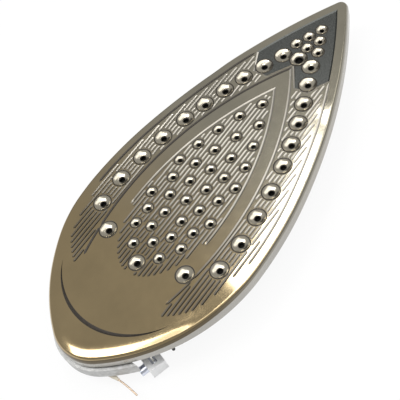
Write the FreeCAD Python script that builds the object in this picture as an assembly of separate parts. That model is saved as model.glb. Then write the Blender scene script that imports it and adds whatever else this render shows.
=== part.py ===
import FreeCAD, Part
import math
import os

# Soleplate assembly of an electric steam iron, lying face up on the bosses of its casting.
# x runs to the tip, y to the left side and z up; z = 0 is the plane of the boss ends. Millimetres.

V = FreeCAD.Vector
UP = V(0, 0, 1)

# Plan of the sole: tangent arcs, mirrored about the x axis
HALF_WIDTH = 52.9
WIDEST_X = -37.0
HEEL_SIDE_R = 92.0
HEEL_NOSE_R = 23.5
FORE_R = 204.0
FORE_ANGLE = 11.4
TIP_SIDE_R = 322.0
TIP_R = 4.0

# Coined skin: a coated sheet with a turned-down flange
FACE_Z = 26.0
SKIN_T = 1.6
FLANGE_H = 8.4
ROUND_SIDE = 3.0
ROUND_HEEL = 6.0

# Fine lines in the face: straight grooves parallel to the axis, and curved border grooves
LINE_PITCH = 2.1
LINE_W = 1.0
LINE_D = 0.22
LEAF_X = -33.0
OUTER_LEAF_R = 175.0
OUTER_LEAF_HALF = 31.0
OUTER_LEAF_HEEL_X = -73.0
INNER_LEAF_R = 163.0
INNER_LEAF_HALF = 23.8
INNER_LEAF_HEEL_L = 36.5
BORDER_GAP = 1.4
RIM_LINE_INSET = 5.4
RIM_LINE_HEEL_X = -37.0
BAND_HEEL_X = -42.0
BAND_HEEL_Y = 4.5
BAND_HEEL_R = 43.8

# Sunk field at the tip, with a zigzag edge towards the heel
TIP_FIELD_D = 0.35
TIP_FIELD_APEX_X = 68.2
TIP_FIELD_BACK_X = 56.2
TIP_FIELD_INNER_Y = 8.8
TIP_FIELD_OUTER_Y = 17.0
TIP_FIELD_FORE_X = 67.8
TIP_FIELD_FORE_Y = 22.6

# Tapered crescent groove across the heel
CRESCENT_END_X = -80.3
CRESCENT_HALF = 34.2
CRESCENT_OUTER_X = -100.8
CRESCENT_W = 1.9
CRESCENT_D = 0.4

# Steam vents: dishes with a hole through the sheet, each off-axis entry on both sides
DISH_R = 4.3
DISH_HOLE_R = 1.4
SMALL_DISH_R = 2.6
SMALL_HOLE_R = 1.0
TIP_DISH_R = 3.0
HEEL_DISH_R = 3.9
SIDE_VENTS = [(-56.1, 24.6), (-45.8, 37.4), (-29.8, 38.1), (-14.4, 36.5), (0.3, 34.2), (15.0, 30.9),
              (27.3, 27.3), (39.4, 23.1), (50.5, 18.8), (61.7, 13.7), (71.9, 8.7)]
APEX_VENT_X = 73.5
APEX_HOLE_R = 2.0
HEEL_VENT_X = -63.0
LEAF_VENTS = [(41.0, 0.0), (29.6, 6.2), (18.3, 0.0), (17.7, 11.0), (6.8, 5.2), (5.7, 14.9),
              (-3.4, 0.0), (-4.2, 9.1), (-6.4, 17.7), (-13.9, 5.2), (-16.2, 14.5), (-23.6, 0.0),
              (-25.0, 9.4), (-28.3, 18.7), (-34.2, 5.3), (-36.6, 14.4), (-43.6, 6.3), (-46.2, 14.5),
              (-50.3, 0.0), (-55.6, 8.3)]
TIP_VENT_X = 81.5
TIP_VENT_ROW = 6.75
TIP_VENT_PITCH = 6.7
TIP_VENT_ROWS = 3

# Die-cast heater body under the skin
CAST_CLEAR = 0.25
PLATE_T = 6.8
GALLERY_D = 1.5
GALLERY_R = 200.0
GALLERY_HALF = 44.0
GALLERY_HEEL_X = -72.0
GALLERY_TIP_X = 88.0
GALLERY_TIP_R = 11.0
ISLAND_HEEL_X = -45.0
LEDGE_OUT = 1.5
LEDGE_NECK_INSET = 3.0
LEDGE_L = 15.1
LEDGE_H = 6.8
LEDGE_GAP = 1.0
BOSS_R = 4.5
BOSS_HOLE_R = 1.65
BOSS_HOLE_L = 12.0
REAR_BOSS_X = -70.0
REAR_BOSS_Y = 25.0
FRONT_BOSS_X = 87.0

# Steam chamber on the back of the casting and its cover
CHAMBER_R = 166.0
CHAMBER_HALF = 22.0
CHAMBER_HEEL_X = -62.0
CHAMBER_WALL = 3.5
CHAMBER_WALL_H = 6.2
CHAMBER_PIT = 1.8
RIB_T = 2.0
RIB_Y = 8.0
RIB_X = -45.0
RIB_L = 45.0
PORT_R = 2.5
PORTS = [(-55.0, 8.0), (-20.0, 12.0), (20.0, 9.0)]
SEAL_T = 0.6
COVER_T = 1.0
COVER_LIP = 2.0
COVER_SCREW_X = [-56.0, -20.0, 14.0]
TIP_SCREW_X = 44.0
SCREW_R = 1.25
SCREW_CLEAR_R = 1.6
SCREW_L = 6.0
SCREW_HEAD_R = 2.8
SCREW_HEAD_H = 1.9
SCREW_BOSS_R = 3.6
SCREW_SLOT_W = 0.8
INLET_X = 20.0
INLET_BORE_R = 2.5
INLET_NECK_R = 5.0
INLET_LIP_R = 6.4
INLET_LIP_T = 1.2

# Tubular heating element cast into the body, bent once at the tip
ELEMENT_R = 3.3
ELEMENT_Z = 15.8
ELEMENT_LEG_R = 184.0
ELEMENT_INSET = 14.3
ELEMENT_BEND_R = 10.0
ELEMENT_HEEL_GAP = 30.7
HUMP_W = 12.0
ELEMENT_BARE_L = 6.0
HUMP_COVER = 1.3
RELIEF = 0.7
RELIEF_L = 12.0
BEAD_R = 2.6
BEAD_L = 3.0
PIN_R = 1.2
PIN_L = 8.0
TAB_W = 4.8
TAB_T = 0.8
TAB_TOP_Z = 17.2
TAB_END_Z = 2.6

# Clear connector pushed on the right-hand tab
HOUSING_W = 8.0
HOUSING_L = 8.6
HOUSING_BEVEL = 0.9
HOUSING_END_Z = 1.0
HOUSING_TOP_Z = 9.4
TERMINAL_END_Z = 2.0
TERMINAL_TOP_Z = 8.8
TERMINAL_L = 3.0
TERMINAL_T = 0.6
TERMINAL_WINDOW_L = 2.0
HOUSING_SHIFT = 1.2
BARREL_R = 2.5
BARREL_L = 6.6
BARREL_Z = 5.4

# Thermal fuse on the heel ledge, with its clip
FUSE_INSET = 6.2
FUSE_R = 2.0
FUSE_Y0 = -14.0
FUSE_L = 12.0
FUSE_SEAL_L = 6.8
FUSE_SEAL_R = 1.7
FUSE_SEAL_END_R = 0.7
LEAD_R = 0.45
LEAD_L = 12.4
LEAD_SWEEP = 1.0
FAR_LEAD_L = 9.0
CLIP_W = 5.0
CLIP_T = 0.6
CLIP_TAB_L = 4.6
CLIP_SCREW_R = 1.1
CLIP_HEAD_R = 2.0
CLIP_HEAD_H = 1.0
CLIP_SCREW_L = 4.0

# Earth tab and locating studs
EARTH_INSET = 28.7
EARTH_SIZE = 8.0
EARTH_BLADE_W = 6.3
EARTH_BLADE_H = 8.8
EARTH_SCREW_R = 1.65
EARTH_SCREW_L = 4.2
EARTH_HEAD_R = 3.2
EARTH_HEAD_H = 2.3
STUD_BACK = 0.8
STUD_GAP = 0.5
STUD_R = 0.8
STUD_L = 10.4
STUD_END_Z = 11.0

# Heights and places that follow from the sizes above
OVER = 1.0
FAR = 130.0
HEEL_REACH = math.sqrt((HEEL_SIDE_R - HEEL_NOSE_R) ** 2 - (HEEL_SIDE_R - HALF_WIDTH) ** 2)
HEEL_X = WIDEST_X - HEEL_REACH - HEEL_NOSE_R
LEDGE_X = HEEL_X + LEDGE_L
FUSE_X = HEEL_X + FUSE_INSET
EARTH_X = HEEL_X + EARTH_INSET
ELEMENT_END_X = HEEL_X + ELEMENT_HEEL_GAP
HUMP_END_X = ELEMENT_END_X + ELEMENT_BARE_L
STUD_X = ELEMENT_END_X + STUD_BACK
ELEMENT_HALF = HALF_WIDTH - ELEMENT_INSET
FLANGE_Z = FACE_Z - FLANGE_H
CAST_TOP = FACE_Z - SKIN_T
PLATE_Z = CAST_TOP - PLATE_T
GALLERY_Z = CAST_TOP - GALLERY_D
LEDGE_TOP = FLANGE_Z - LEDGE_GAP
LEDGE_Z = LEDGE_TOP - LEDGE_H
WALL_Z = PLATE_Z - CHAMBER_WALL_H
PIT_Z = PLATE_Z + CHAMBER_PIT
COVER_TOP = WALL_Z - SEAL_T
COVER_Z = COVER_TOP - COVER_T
CAST_INSET = SKIN_T + CAST_CLEAR


def mirrored(shape):
    """Copy on the other side of the long axis."""
    return shape.mirror(V(0, 0, 0), V(0, 1, 0))


def both(points):
    """Each point and, off the axis, its mirror image."""
    return [(x, s * y) for x, y in points for s in ((1, -1) if y else (1,))]


def prism(wire, z0, z1):
    """Solid between two heights over a closed plan wire."""
    face = Part.Face(wire)
    face.translate(V(0, 0, z0))
    return face.extrude(V(0, 0, z1 - z0))


def polygon(points):
    """Closed wire through plan points."""
    return Part.makePolygon([V(x, y, 0) for x, y in points + points[:1]])


def box(x0, x1, y0, y1, z0, z1):
    """Box between two corners."""
    return Part.makeBox(x1 - x0, y1 - y0, z1 - z0, V(x0, y0, z0))


def rod(x, y, z0, z1, r):
    """Upright cylinder."""
    return Part.makeCylinder(r, z1 - z0, V(x, y, z0))


def lathe(points, x, y):
    """Solid turned about an upright axis from (radius, height) corners."""
    pts = [V(r, 0, z) for r, z in points]
    turned = Part.Face(Part.makePolygon(pts + pts[:1])).revolve(V(0, 0, 0), UP, 360)
    turned.translate(V(x, y, 0))
    return turned


def arc(cx, cy, r, a0, a1):
    """Plan arc about a centre, between two angles in degrees."""
    turns = [math.radians(a) for a in (a0, (a0 + a1) / 2, a1)]
    return Part.Arc(*[V(cx + r * math.cos(t), cy + r * math.sin(t), 0) for t in turns]).toShape()


def rim_arcs(inset):
    """Arcs of the left half of the sole's plan, heel to tip: centre x and y, radius and two angles."""
    heel_cy = HALF_WIDTH - HEEL_SIDE_R
    fore_cy = HALF_WIDTH - FORE_R
    nose_x = HEEL_X + HEEL_NOSE_R
    nose_a = math.degrees(math.atan2(-heel_cy, nose_x - WIDEST_X))
    turn = math.radians(FORE_ANGLE)
    side_cx = WIDEST_X + (FORE_R - TIP_SIDE_R) * math.sin(turn)
    side_cy = fore_cy + (FORE_R - TIP_SIDE_R) * math.cos(turn)
    tip_r = max(TIP_R - inset, 0)
    side_r = TIP_SIDE_R - inset
    tip_x = side_cx + math.sqrt((side_r - tip_r) ** 2 - side_cy ** 2)
    tip_a = math.degrees(math.atan2(-side_cy, tip_x - side_cx))
    tip = [(tip_x, 0, tip_r, tip_a, 0)] if tip_r else []
    return [(nose_x, 0, HEEL_NOSE_R - inset, 180, nose_a),
            (WIDEST_X, heel_cy, HEEL_SIDE_R - inset, nose_a, 90),
            (WIDEST_X, fore_cy, FORE_R - inset, 90, 90 - FORE_ANGLE),
            (side_cx, side_cy, side_r, 90 - FORE_ANGLE, tip_a)] + tip


def outline(inset):
    """Closed plan of the sole, drawn in by a distance; far in, its tip is a point."""
    left = [arc(*a) for a in rim_arcs(inset)]
    return Part.Wire(left + [mirrored(e) for e in reversed(left)])


def rounded_prism(inset, z0, z1, side, heel):
    """Prism of the sole's plan with its top edge rounded, more at the heel than along the sides."""
    body = prism(outline(inset), z0, z1)
    doc = FreeCAD.newDocument()
    base = doc.addObject("Part::Feature")
    base.Shape = body
    fillet = doc.addObject("Part::Fillet")
    fillet.Base = base
    picks = []
    for number, edge in enumerate(body.Edges, 1):
        ends = sorted([v.X for v in edge.Vertexes], reverse=edge.CenterOfMass.y < 0)
        if edge.BoundBox.ZMin > z1 - OVER:
            picks.append((number, *[heel if x < WIDEST_X - OVER else side for x in ends]))
    fillet.Edges = picks
    doc.recompute()
    solid = fillet.Shape.Solids[0]
    FreeCAD.closeDocument(doc.Name)
    return solid


def leaf(r, half, heel_x):
    """Pointed leaf: two arcs that meet at the tip, closed by a straight line at the heel."""
    apex_x = LEAF_X + math.sqrt(r ** 2 - (half - r) ** 2)
    points = [V(x, leaf_y(r, half, x), 0) for x in (heel_x, (heel_x + apex_x) / 2)]
    left = Part.Arc(points[0], points[1], V(apex_x, 0, 0)).toShape()
    back = Part.makeLine(V(heel_x, -points[0].y, 0), points[0])
    return Part.Wire([back, left, mirrored(left)])


def leaf_y(r, half, x):
    """Half width of a leaf at x."""
    return half - r + math.sqrt(r ** 2 - (x - LEAF_X) ** 2)


def cutter(wire, depth):
    """Solid that sinks a plan field into the face."""
    return prism(wire, FACE_Z - depth, FACE_Z + depth)


def line_section(at):
    """Triangle of a V groove that stands at a distance along x, open above the face."""
    top = FACE_Z + LINE_D
    points = [V(at, 0, FACE_Z - LINE_D), V(at + LINE_W, 0, top), V(at - LINE_W, 0, top)]
    return Part.Face(Part.makePolygon(points + points[:1]))


def straight_line(y):
    """Cutter for one groove along the whole plate."""
    face = line_section(0)
    face.rotate(V(0, 0, 0), UP, 90)
    face.translate(V(-FAR, y, 0))
    return face.extrude(V(2 * FAR, 0, 0))


def swept(section_at, cx, cy, r, a0, a1):
    """Section swept about an upright axis, between two angles in degrees."""
    face = section_at(r)
    face.translate(V(cx, cy, 0))
    face.rotate(V(cx, cy, 0), UP, a0)
    return face.revolve(V(cx, cy, 0), UP, a1 - a0)


def leaf_line(r, half, heel_x):
    """Cutter for a groove along the left edge of a leaf, from the heel to its point."""
    apex_a = math.degrees(math.asin((r - half) / r))
    heel_a = math.degrees(math.acos((heel_x - LEAF_X) / r))
    return swept(line_section, LEAF_X, half - r, r, apex_a, heel_a)


def rim_lines():
    """Cutters for the groove inside the left rim, from the widest part to just short of the tip field."""
    fore, side = rim_arcs(RIM_LINE_INSET)[2:4]
    start = math.degrees(math.acos((RIM_LINE_HEEL_X - fore[0]) / fore[2]))
    stop = math.degrees(math.acos((TIP_FIELD_FORE_X - LINE_W - side[0]) / side[2]))
    return [swept(line_section, *fore[:3], fore[4], start), swept(line_section, *side[:3], stop, side[3])]


def leaf_field():
    """Lined field inside the inner leaf, closed by a half ellipse at its heel."""
    front = leaf(INNER_LEAF_R - BORDER_GAP, INNER_LEAF_HALF - BORDER_GAP, LEAF_X)
    heel = Part.Ellipse(V(LEAF_X, 0, 0), INNER_LEAF_HEEL_L, front.BoundBox.YMax).toShape()
    return cutter(front, LINE_D).fuse(cutter(Part.Wire(heel), LINE_D))


def tip_field():
    """Sunk field at the tip."""
    edge = [(TIP_FIELD_BACK_X, TIP_FIELD_INNER_Y), (TIP_FIELD_BACK_X, TIP_FIELD_OUTER_Y),
            (TIP_FIELD_FORE_X, TIP_FIELD_FORE_Y), (TIP_FIELD_FORE_X, HALF_WIDTH), (FAR, HALF_WIDTH)]
    points = [(TIP_FIELD_APEX_X, 0)] + edge + [(x, -y) for x, y in reversed(edge)]
    return cutter(polygon(points), TIP_FIELD_D).common(cutter(outline(RIM_LINE_INSET), TIP_FIELD_D))


def band_field():
    """Lined field on the left, between the outer leaf and the rim."""
    inside = cutter(outline(RIM_LINE_INSET + BORDER_GAP), LINE_D)
    heel = cutter(Part.Wire(Part.makeCircle(BAND_HEEL_R, V(BAND_HEEL_X, BAND_HEEL_Y, 0))), LINE_D)
    ahead = box(BAND_HEEL_X, FAR, 0, HALF_WIDTH, FACE_Z - LINE_D, FACE_Z + LINE_D)
    middle = leaf(OUTER_LEAF_R + BORDER_GAP, OUTER_LEAF_HALF + BORDER_GAP, BAND_HEEL_X - BAND_HEEL_R)
    return inside.common(heel.fuse(ahead)).cut([cutter(middle, LINE_D), tip_field()])


def face_lines():
    """Cutters for all the fine lines of the face."""
    count = int(HALF_WIDTH / LINE_PITCH)
    left = [straight_line((n + 0.5) * LINE_PITCH) for n in range(count)]
    field = band_field()
    inner = leaf_field()
    cuts = rim_lines()
    cuts.append(leaf_line(OUTER_LEAF_R, OUTER_LEAF_HALF, OUTER_LEAF_HEEL_X))
    cuts.append(leaf_line(INNER_LEAF_R, INNER_LEAF_HALF, LEAF_X))
    for line in left:
        cuts.extend(line.common(field).Solids)
        cuts.extend(line.common(inner).Solids)
    return cuts + [mirrored(c) for c in cuts]


def crescent():
    """Cutter for the tapered groove across the heel."""
    discs = []
    for x in (CRESCENT_OUTER_X, CRESCENT_OUTER_X + CRESCENT_W):
        rise = CRESCENT_END_X - x
        r = (CRESCENT_HALF ** 2 + rise ** 2) / (2 * rise)
        discs.append(cutter(Part.Wire(Part.makeCircle(r, V(x + r, 0, 0))), CRESCENT_D))
    behind = box(-FAR, CRESCENT_END_X, -HALF_WIDTH, HALF_WIDTH, FACE_Z - OVER, FACE_Z + OVER)
    return discs[0].cut(discs[1]).common(behind)


def dish(x, y, r, hole_r, top):
    """Cutter for one vent: a dish that narrows to its hole at the back of the sheet."""
    flare = (r - hole_r) / (top - CAST_TOP) * OVER
    low, high = CAST_TOP - OVER, top + OVER
    return lathe([(0, low), (hole_r, low), (hole_r, CAST_TOP), (r + flare, high), (0, high)], x, y)


def vents():
    """Cutters for all the steam vents."""
    sunk = FACE_Z - TIP_FIELD_D
    cuts = [dish(HEEL_VENT_X, 0, HEEL_DISH_R, DISH_HOLE_R, FACE_Z),
            dish(APEX_VENT_X, 0, DISH_R, APEX_HOLE_R, sunk)]
    for x, y in both(SIDE_VENTS):
        cuts.append(dish(x, y, DISH_R, DISH_HOLE_R, sunk if x > TIP_FIELD_BACK_X else FACE_Z))
    for x, y in both(LEAF_VENTS):
        cuts.append(dish(x, y, SMALL_DISH_R, SMALL_HOLE_R, FACE_Z))
    for row in range(TIP_VENT_ROWS):
        for n in range(TIP_VENT_ROWS - row):
            y = (n - (TIP_VENT_ROWS - row - 1) / 2) * TIP_VENT_PITCH
            cuts.append(dish(TIP_VENT_X + row * TIP_VENT_ROW, y, TIP_DISH_R, SMALL_HOLE_R, sunk))
    return cuts


def skin():
    """Coated sheet: rounded rim and flange, sunk fields, lines and vents."""
    outside = rounded_prism(0, FLANGE_Z, FACE_Z, ROUND_SIDE, ROUND_HEEL)
    inside = rounded_prism(SKIN_T, FLANGE_Z - OVER, CAST_TOP, ROUND_SIDE - SKIN_T, ROUND_HEEL - SKIN_T)
    sheet = outside.cut(inside)
    return sheet.cut([tip_field(), crescent()]).cut(face_lines()).cut(vents())


def along_element(section_at, end_x):
    """Section swept along the element's path: two legs and the bend at the tip."""
    cy = ELEMENT_HALF - ELEMENT_LEG_R
    bend_x = LEAF_X + math.sqrt((ELEMENT_LEG_R - ELEMENT_BEND_R) ** 2 - cy ** 2)
    bend_a = math.degrees(math.atan2(-cy, bend_x - LEAF_X))
    end_a = math.degrees(math.acos((end_x - LEAF_X) / ELEMENT_LEG_R))
    leg = swept(section_at, LEAF_X, cy, ELEMENT_LEG_R, bend_a, end_a)
    bend = swept(section_at, bend_x, 0, ELEMENT_BEND_R, -bend_a, bend_a)
    return leg.fuse([bend, mirrored(leg)]).removeSplitter()


def round_section(r):
    """Function that draws a round section of the element at a distance along x."""
    return lambda at: Part.Face(Part.Wire(Part.makeCircle(r, V(at, 0, ELEMENT_Z), V(0, 1, 0))))


def hump_section(at):
    """Section of the cast rib around the element."""
    z = ELEMENT_Z - ELEMENT_R - HUMP_COVER
    points = [V(at - HUMP_W / 2, 0, PLATE_Z + OVER), V(at - HUMP_W / 2, 0, z + HUMP_COVER),
              V(at - HUMP_W / 2 + HUMP_COVER, 0, z), V(at + HUMP_W / 2 - HUMP_COVER, 0, z),
              V(at + HUMP_W / 2, 0, z + HUMP_COVER), V(at + HUMP_W / 2, 0, PLATE_Z + OVER)]
    return Part.Face(Part.makePolygon(points + points[:1]))


def cover_screws():
    """Plan points of the screws in the chamber wall."""
    r = CHAMBER_R - CHAMBER_WALL / 2
    half = CHAMBER_HALF - CHAMBER_WALL / 2
    return both([(x, leaf_y(r, half, x)) for x in COVER_SCREW_X] + [(TIP_SCREW_X, 0)])


def chamber(step, z0, z1):
    """Prism of the steam chamber's plan, drawn in by a step from the outside of its wall."""
    return prism(leaf(CHAMBER_R - step, CHAMBER_HALF - step, CHAMBER_HEEL_X + step), z0, z1)


def gallery():
    """Cutter for the shallow steam gallery under the skin, with an island under the smooth leaf band."""
    wide = prism(leaf(GALLERY_R, GALLERY_HALF, GALLERY_HEEL_X), GALLERY_Z, CAST_TOP + OVER)
    tip = rod(GALLERY_TIP_X, 0, GALLERY_Z, CAST_TOP + OVER, GALLERY_TIP_R)
    island = prism(leaf(OUTER_LEAF_R, OUTER_LEAF_HALF, ISLAND_HEEL_X), GALLERY_Z, CAST_TOP + OVER)
    inner = prism(leaf(INNER_LEAF_R, INNER_LEAF_HALF, ISLAND_HEEL_X), GALLERY_Z, CAST_TOP + OVER)
    return wide.fuse(tip).cut(island.cut(inner))


def bosses():
    """Plan points of the fixing bosses."""
    return both([(REAR_BOSS_X, REAR_BOSS_Y), (FRONT_BOSS_X, 0)])


def studs():
    """Locating studs, one outside each end of the element."""
    y = leaf_y(ELEMENT_LEG_R, ELEMENT_HALF, STUD_X) + ELEMENT_R + STUD_GAP + STUD_R
    return [rod(STUD_X, s * y, STUD_END_Z, STUD_END_Z + STUD_L, STUD_R) for s in (1, -1)]


def casting():
    """Heater body: plate, heel ledge, element rib, steam chamber and fixing bosses."""
    plate = rounded_prism(CAST_INSET, PLATE_Z, CAST_TOP, ROUND_SIDE - SKIN_T, ROUND_HEEL - SKIN_T)
    ledge = prism(outline(-LEDGE_OUT), LEDGE_Z, LEDGE_TOP)
    ledge = ledge.fuse(prism(outline(LEDGE_NECK_INSET), LEDGE_Z, PLATE_Z + OVER))
    ledge = ledge.common(box(-FAR, LEDGE_X, -HALF_WIDTH, HALF_WIDTH, LEDGE_Z, PLATE_Z + OVER))
    adds = [ledge, along_element(hump_section, HUMP_END_X), chamber(0, WALL_Z, PLATE_Z + OVER)]
    body = plate.fuse(adds + [rod(x, y, 0, PLATE_Z + OVER, BOSS_R) for x, y in bosses()])
    body = body.cut([chamber(CHAMBER_WALL, WALL_Z - OVER, PIT_Z), gallery()])
    ribs = [box(RIB_X, RIB_X + RIB_L, y - RIB_T / 2, y + RIB_T / 2, WALL_Z + OVER, PIT_Z + OVER)
            for y in (RIB_Y, -RIB_Y)]
    posts = [rod(x, y, WALL_Z, PIT_Z + OVER, SCREW_BOSS_R) for x, y in cover_screws()]
    body = body.fuse(ribs + posts)
    relief = at_left_end(end_rod(-ELEMENT_BARE_L - OVER, RELIEF_L, ELEMENT_R + RELIEF))
    holes = [relief, mirrored(relief), heating_element()]
    holes += [rod(x, y, PIT_Z - OVER, GALLERY_Z + OVER, PORT_R) for x, y in both(PORTS)]
    holes += [rod(x, y, WALL_Z - OVER, COVER_Z + SCREW_L, SCREW_R) for x, y in cover_screws()]
    holes += [rod(x, y, -OVER, BOSS_HOLE_L, BOSS_HOLE_R) for x, y in bosses()]
    holes += studs()
    holes.append(rod(EARTH_X, 0, PLATE_Z - OVER, PLATE_Z + EARTH_SCREW_L, EARTH_SCREW_R))
    holes.append(rod(*clip_screw_at(), LEDGE_Z - OVER, LEDGE_Z + CLIP_SCREW_L, CLIP_SCREW_R))
    return body.cut(holes).removeSplitter()


def screw(x, y, seat_z, r, length, head_r, head_h):
    """Pan screw driven upwards, with a slot across its head."""
    head = rod(x, y, seat_z - head_h, seat_z, head_r)
    slot = box(x - head_r, x + head_r, y - SCREW_SLOT_W / 2, y + SCREW_SLOT_W / 2,
               seat_z - head_h, seat_z - head_h / 2)
    return head.cut(slot).fuse(rod(x, y, seat_z, seat_z + length, r)).removeSplitter()


def chamber_seal():
    """Flat gasket on the chamber wall."""
    ring = chamber(0, COVER_TOP, WALL_Z).cut(chamber(CHAMBER_WALL, COVER_TOP, WALL_Z))
    ring = ring.fuse([rod(x, y, COVER_TOP, WALL_Z, SCREW_BOSS_R) for x, y in cover_screws()])
    return ring.cut([rod(x, y, COVER_TOP, WALL_Z, SCREW_CLEAR_R) for x, y in cover_screws()]).removeSplitter()


def steam_cover():
    """Pressed lid of the steam chamber."""
    lid = chamber(-COVER_LIP, COVER_Z, COVER_TOP)
    holes = [rod(x, y, COVER_Z, COVER_TOP, SCREW_CLEAR_R) for x, y in cover_screws()]
    return lid.cut(holes + [rod(INLET_X, 0, COVER_Z, COVER_TOP, INLET_NECK_R)])


def inlet_grommet():
    """Water inlet bush that grips the edge of the hole in the lid."""
    low = COVER_Z - INLET_LIP_T
    high = COVER_TOP + INLET_LIP_T
    return lathe([(INLET_BORE_R, low), (INLET_LIP_R, low), (INLET_LIP_R, COVER_Z), (INLET_NECK_R, COVER_Z),
                  (INLET_NECK_R, COVER_TOP), (INLET_LIP_R, COVER_TOP), (INLET_NECK_R, high),
                  (INLET_BORE_R, high)], INLET_X, 0)


def at_left_end(shape):
    """Moves a piece drawn along x from the origin onto the left end of the element."""
    turn = math.acos((ELEMENT_END_X - LEAF_X) / ELEMENT_LEG_R)
    shape.rotate(V(0, 0, 0), UP, math.degrees(turn) + 90)
    y = ELEMENT_HALF - ELEMENT_LEG_R + ELEMENT_LEG_R * math.sin(turn)
    shape.translate(V(ELEMENT_END_X, y, 0))
    return shape


def end_rod(x0, x1, r):
    """Cylinder along the element's axis, drawn from its end."""
    return Part.makeCylinder(r, x1 - x0, V(x0, 0, ELEMENT_Z), V(1, 0, 0))


def spade_tab():
    """Upright blade on the end of a terminal pin."""
    return box(PIN_L, PIN_L + TAB_T, -TAB_W / 2, TAB_W / 2, TAB_END_Z, TAB_TOP_Z)


def barrel(x0, x1, r):
    """Cylinder along the crimp barrel's axis."""
    return Part.makeCylinder(r, x1 - x0, V(x0, 0, BARREL_Z), V(1, 0, 0))


def connector_terminal():
    """Folded receptacle around the blade, with its crimp barrel to the heel."""
    mid = PIN_L + TAB_T / 2
    side = TAB_W / 2 + TERMINAL_T
    end = mid + TERMINAL_L / 2
    shell = box(mid - TERMINAL_L / 2, end, -side, side, TERMINAL_END_Z, TERMINAL_TOP_Z)
    shell = shell.fuse(barrel(end, end + BARREL_L, BARREL_R))
    bore = barrel(end + TERMINAL_T, end + BARREL_L, BARREL_R - TERMINAL_T)
    middle = end + BARREL_L / 2
    window = box(middle, middle + TERMINAL_WINDOW_L, 0, BARREL_R, BARREL_Z, BARREL_Z + BARREL_R)
    return shell.cut([box(PIN_L, PIN_L + TAB_T, -TAB_W / 2, TAB_W / 2, TAB_END_Z, FACE_Z), bore, window])


def connector_housing():
    """Clear cover of the receptacle, open where the blade enters."""
    mid = PIN_L + TAB_T / 2
    side = TAB_W / 2 + TERMINAL_T
    y0 = -HOUSING_SHIFT - HOUSING_W / 2
    block = box(mid - HOUSING_L / 2, mid + HOUSING_L / 2, y0, y0 + HOUSING_W, HOUSING_END_Z, HOUSING_TOP_Z)
    room = box(mid - TERMINAL_L / 2, mid + TERMINAL_L / 2, -side, side, TERMINAL_END_Z, HOUSING_TOP_Z)
    edges = [e for e in block.Edges if e.BoundBox.ZMax < HOUSING_END_Z + OVER]
    return block.makeChamfer(HOUSING_BEVEL, edges).cut([room, barrel(mid, mid + HOUSING_L, BARREL_R)])


def fuse_rod(y0, y1, r):
    """Cylinder along the fuse's axis."""
    return Part.makeCylinder(r, y1 - y0, V(FUSE_X, y0, LEDGE_Z - FUSE_R), V(0, 1, 0))


def fuse_seal():
    """Tapered resin end of the fuse, around its lead."""
    root = V(FUSE_X, FUSE_Y0, LEDGE_Z - FUSE_R)
    cone = Part.makeCone(FUSE_SEAL_R, FUSE_SEAL_END_R, FUSE_SEAL_L, root, V(0, -1, 0))
    return cone.cut(fuse_rod(FUSE_Y0 - FUSE_SEAL_L, FUSE_Y0, LEAD_R))


def fuse_lead():
    """Bare lead: straight through the seal, then a gentle sweep towards the heel."""
    start = FUSE_Y0 - FUSE_SEAL_L
    r = (LEAD_L ** 2 + LEAD_SWEEP ** 2) / (2 * LEAD_SWEEP)
    face = Part.Face(Part.Wire(Part.makeCircle(LEAD_R, V(FUSE_X, start, LEDGE_Z - FUSE_R), V(0, 1, 0))))
    turn = math.degrees(math.asin(LEAD_L / r))
    sweep = face.revolve(V(FUSE_X - r, start, 0), UP, -turn)
    return fuse_rod(start, FUSE_Y0, LEAD_R).fuse(sweep).removeSplitter()


def clip_screw_at():
    """Plan point of the clip's screw."""
    return FUSE_X + FUSE_R + CLIP_T + CLIP_TAB_L / 2, FUSE_Y0 + FUSE_L / 2


def fuse_clip():
    """Spring strap under the fuse, with a tab on the ledge."""
    x, y = clip_screw_at()
    mid = LEDGE_Z - FUSE_R
    y0, y1 = y - CLIP_W / 2, y + CLIP_W / 2
    out = FUSE_R + CLIP_T
    loop = fuse_rod(y0, y1, out).cut(fuse_rod(y0, y1, FUSE_R))
    loop = loop.common(box(FUSE_X - out, FUSE_X + out, y0, y1, mid - out, mid))
    legs = [box(FUSE_X - out, FUSE_X - FUSE_R, y0, y1, mid, LEDGE_Z - CLIP_T),
            box(FUSE_X + FUSE_R, FUSE_X + out, y0, y1, mid, LEDGE_Z),
            box(FUSE_X + FUSE_R, FUSE_X + out + CLIP_TAB_L, y0, y1, LEDGE_Z - CLIP_T, LEDGE_Z)]
    return loop.fuse(legs).cut(rod(x, y, LEDGE_Z - CLIP_T, LEDGE_Z, CLIP_SCREW_R)).removeSplitter()


def earth_tab():
    """Bent blade for the earth lead."""
    half = EARTH_SIZE / 2
    base = box(EARTH_X - half, EARTH_X + half, -half, half, PLATE_Z - TAB_T, PLATE_Z)
    blade = box(EARTH_X + half - TAB_T, EARTH_X + half, -EARTH_BLADE_W / 2, EARTH_BLADE_W / 2,
                PLATE_Z - EARTH_BLADE_H, PLATE_Z)
    return base.fuse(blade).cut(rod(EARTH_X, 0, PLATE_Z - TAB_T, PLATE_Z, EARTH_SCREW_R)).removeSplitter()


def heating_element():
    """Filled metal tube, closed by a bead at each end."""
    return along_element(round_section(ELEMENT_R), ELEMENT_END_X)


def group(shapes):
    """Several equal pieces as one node."""
    return Part.makeCompound(shapes)


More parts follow.
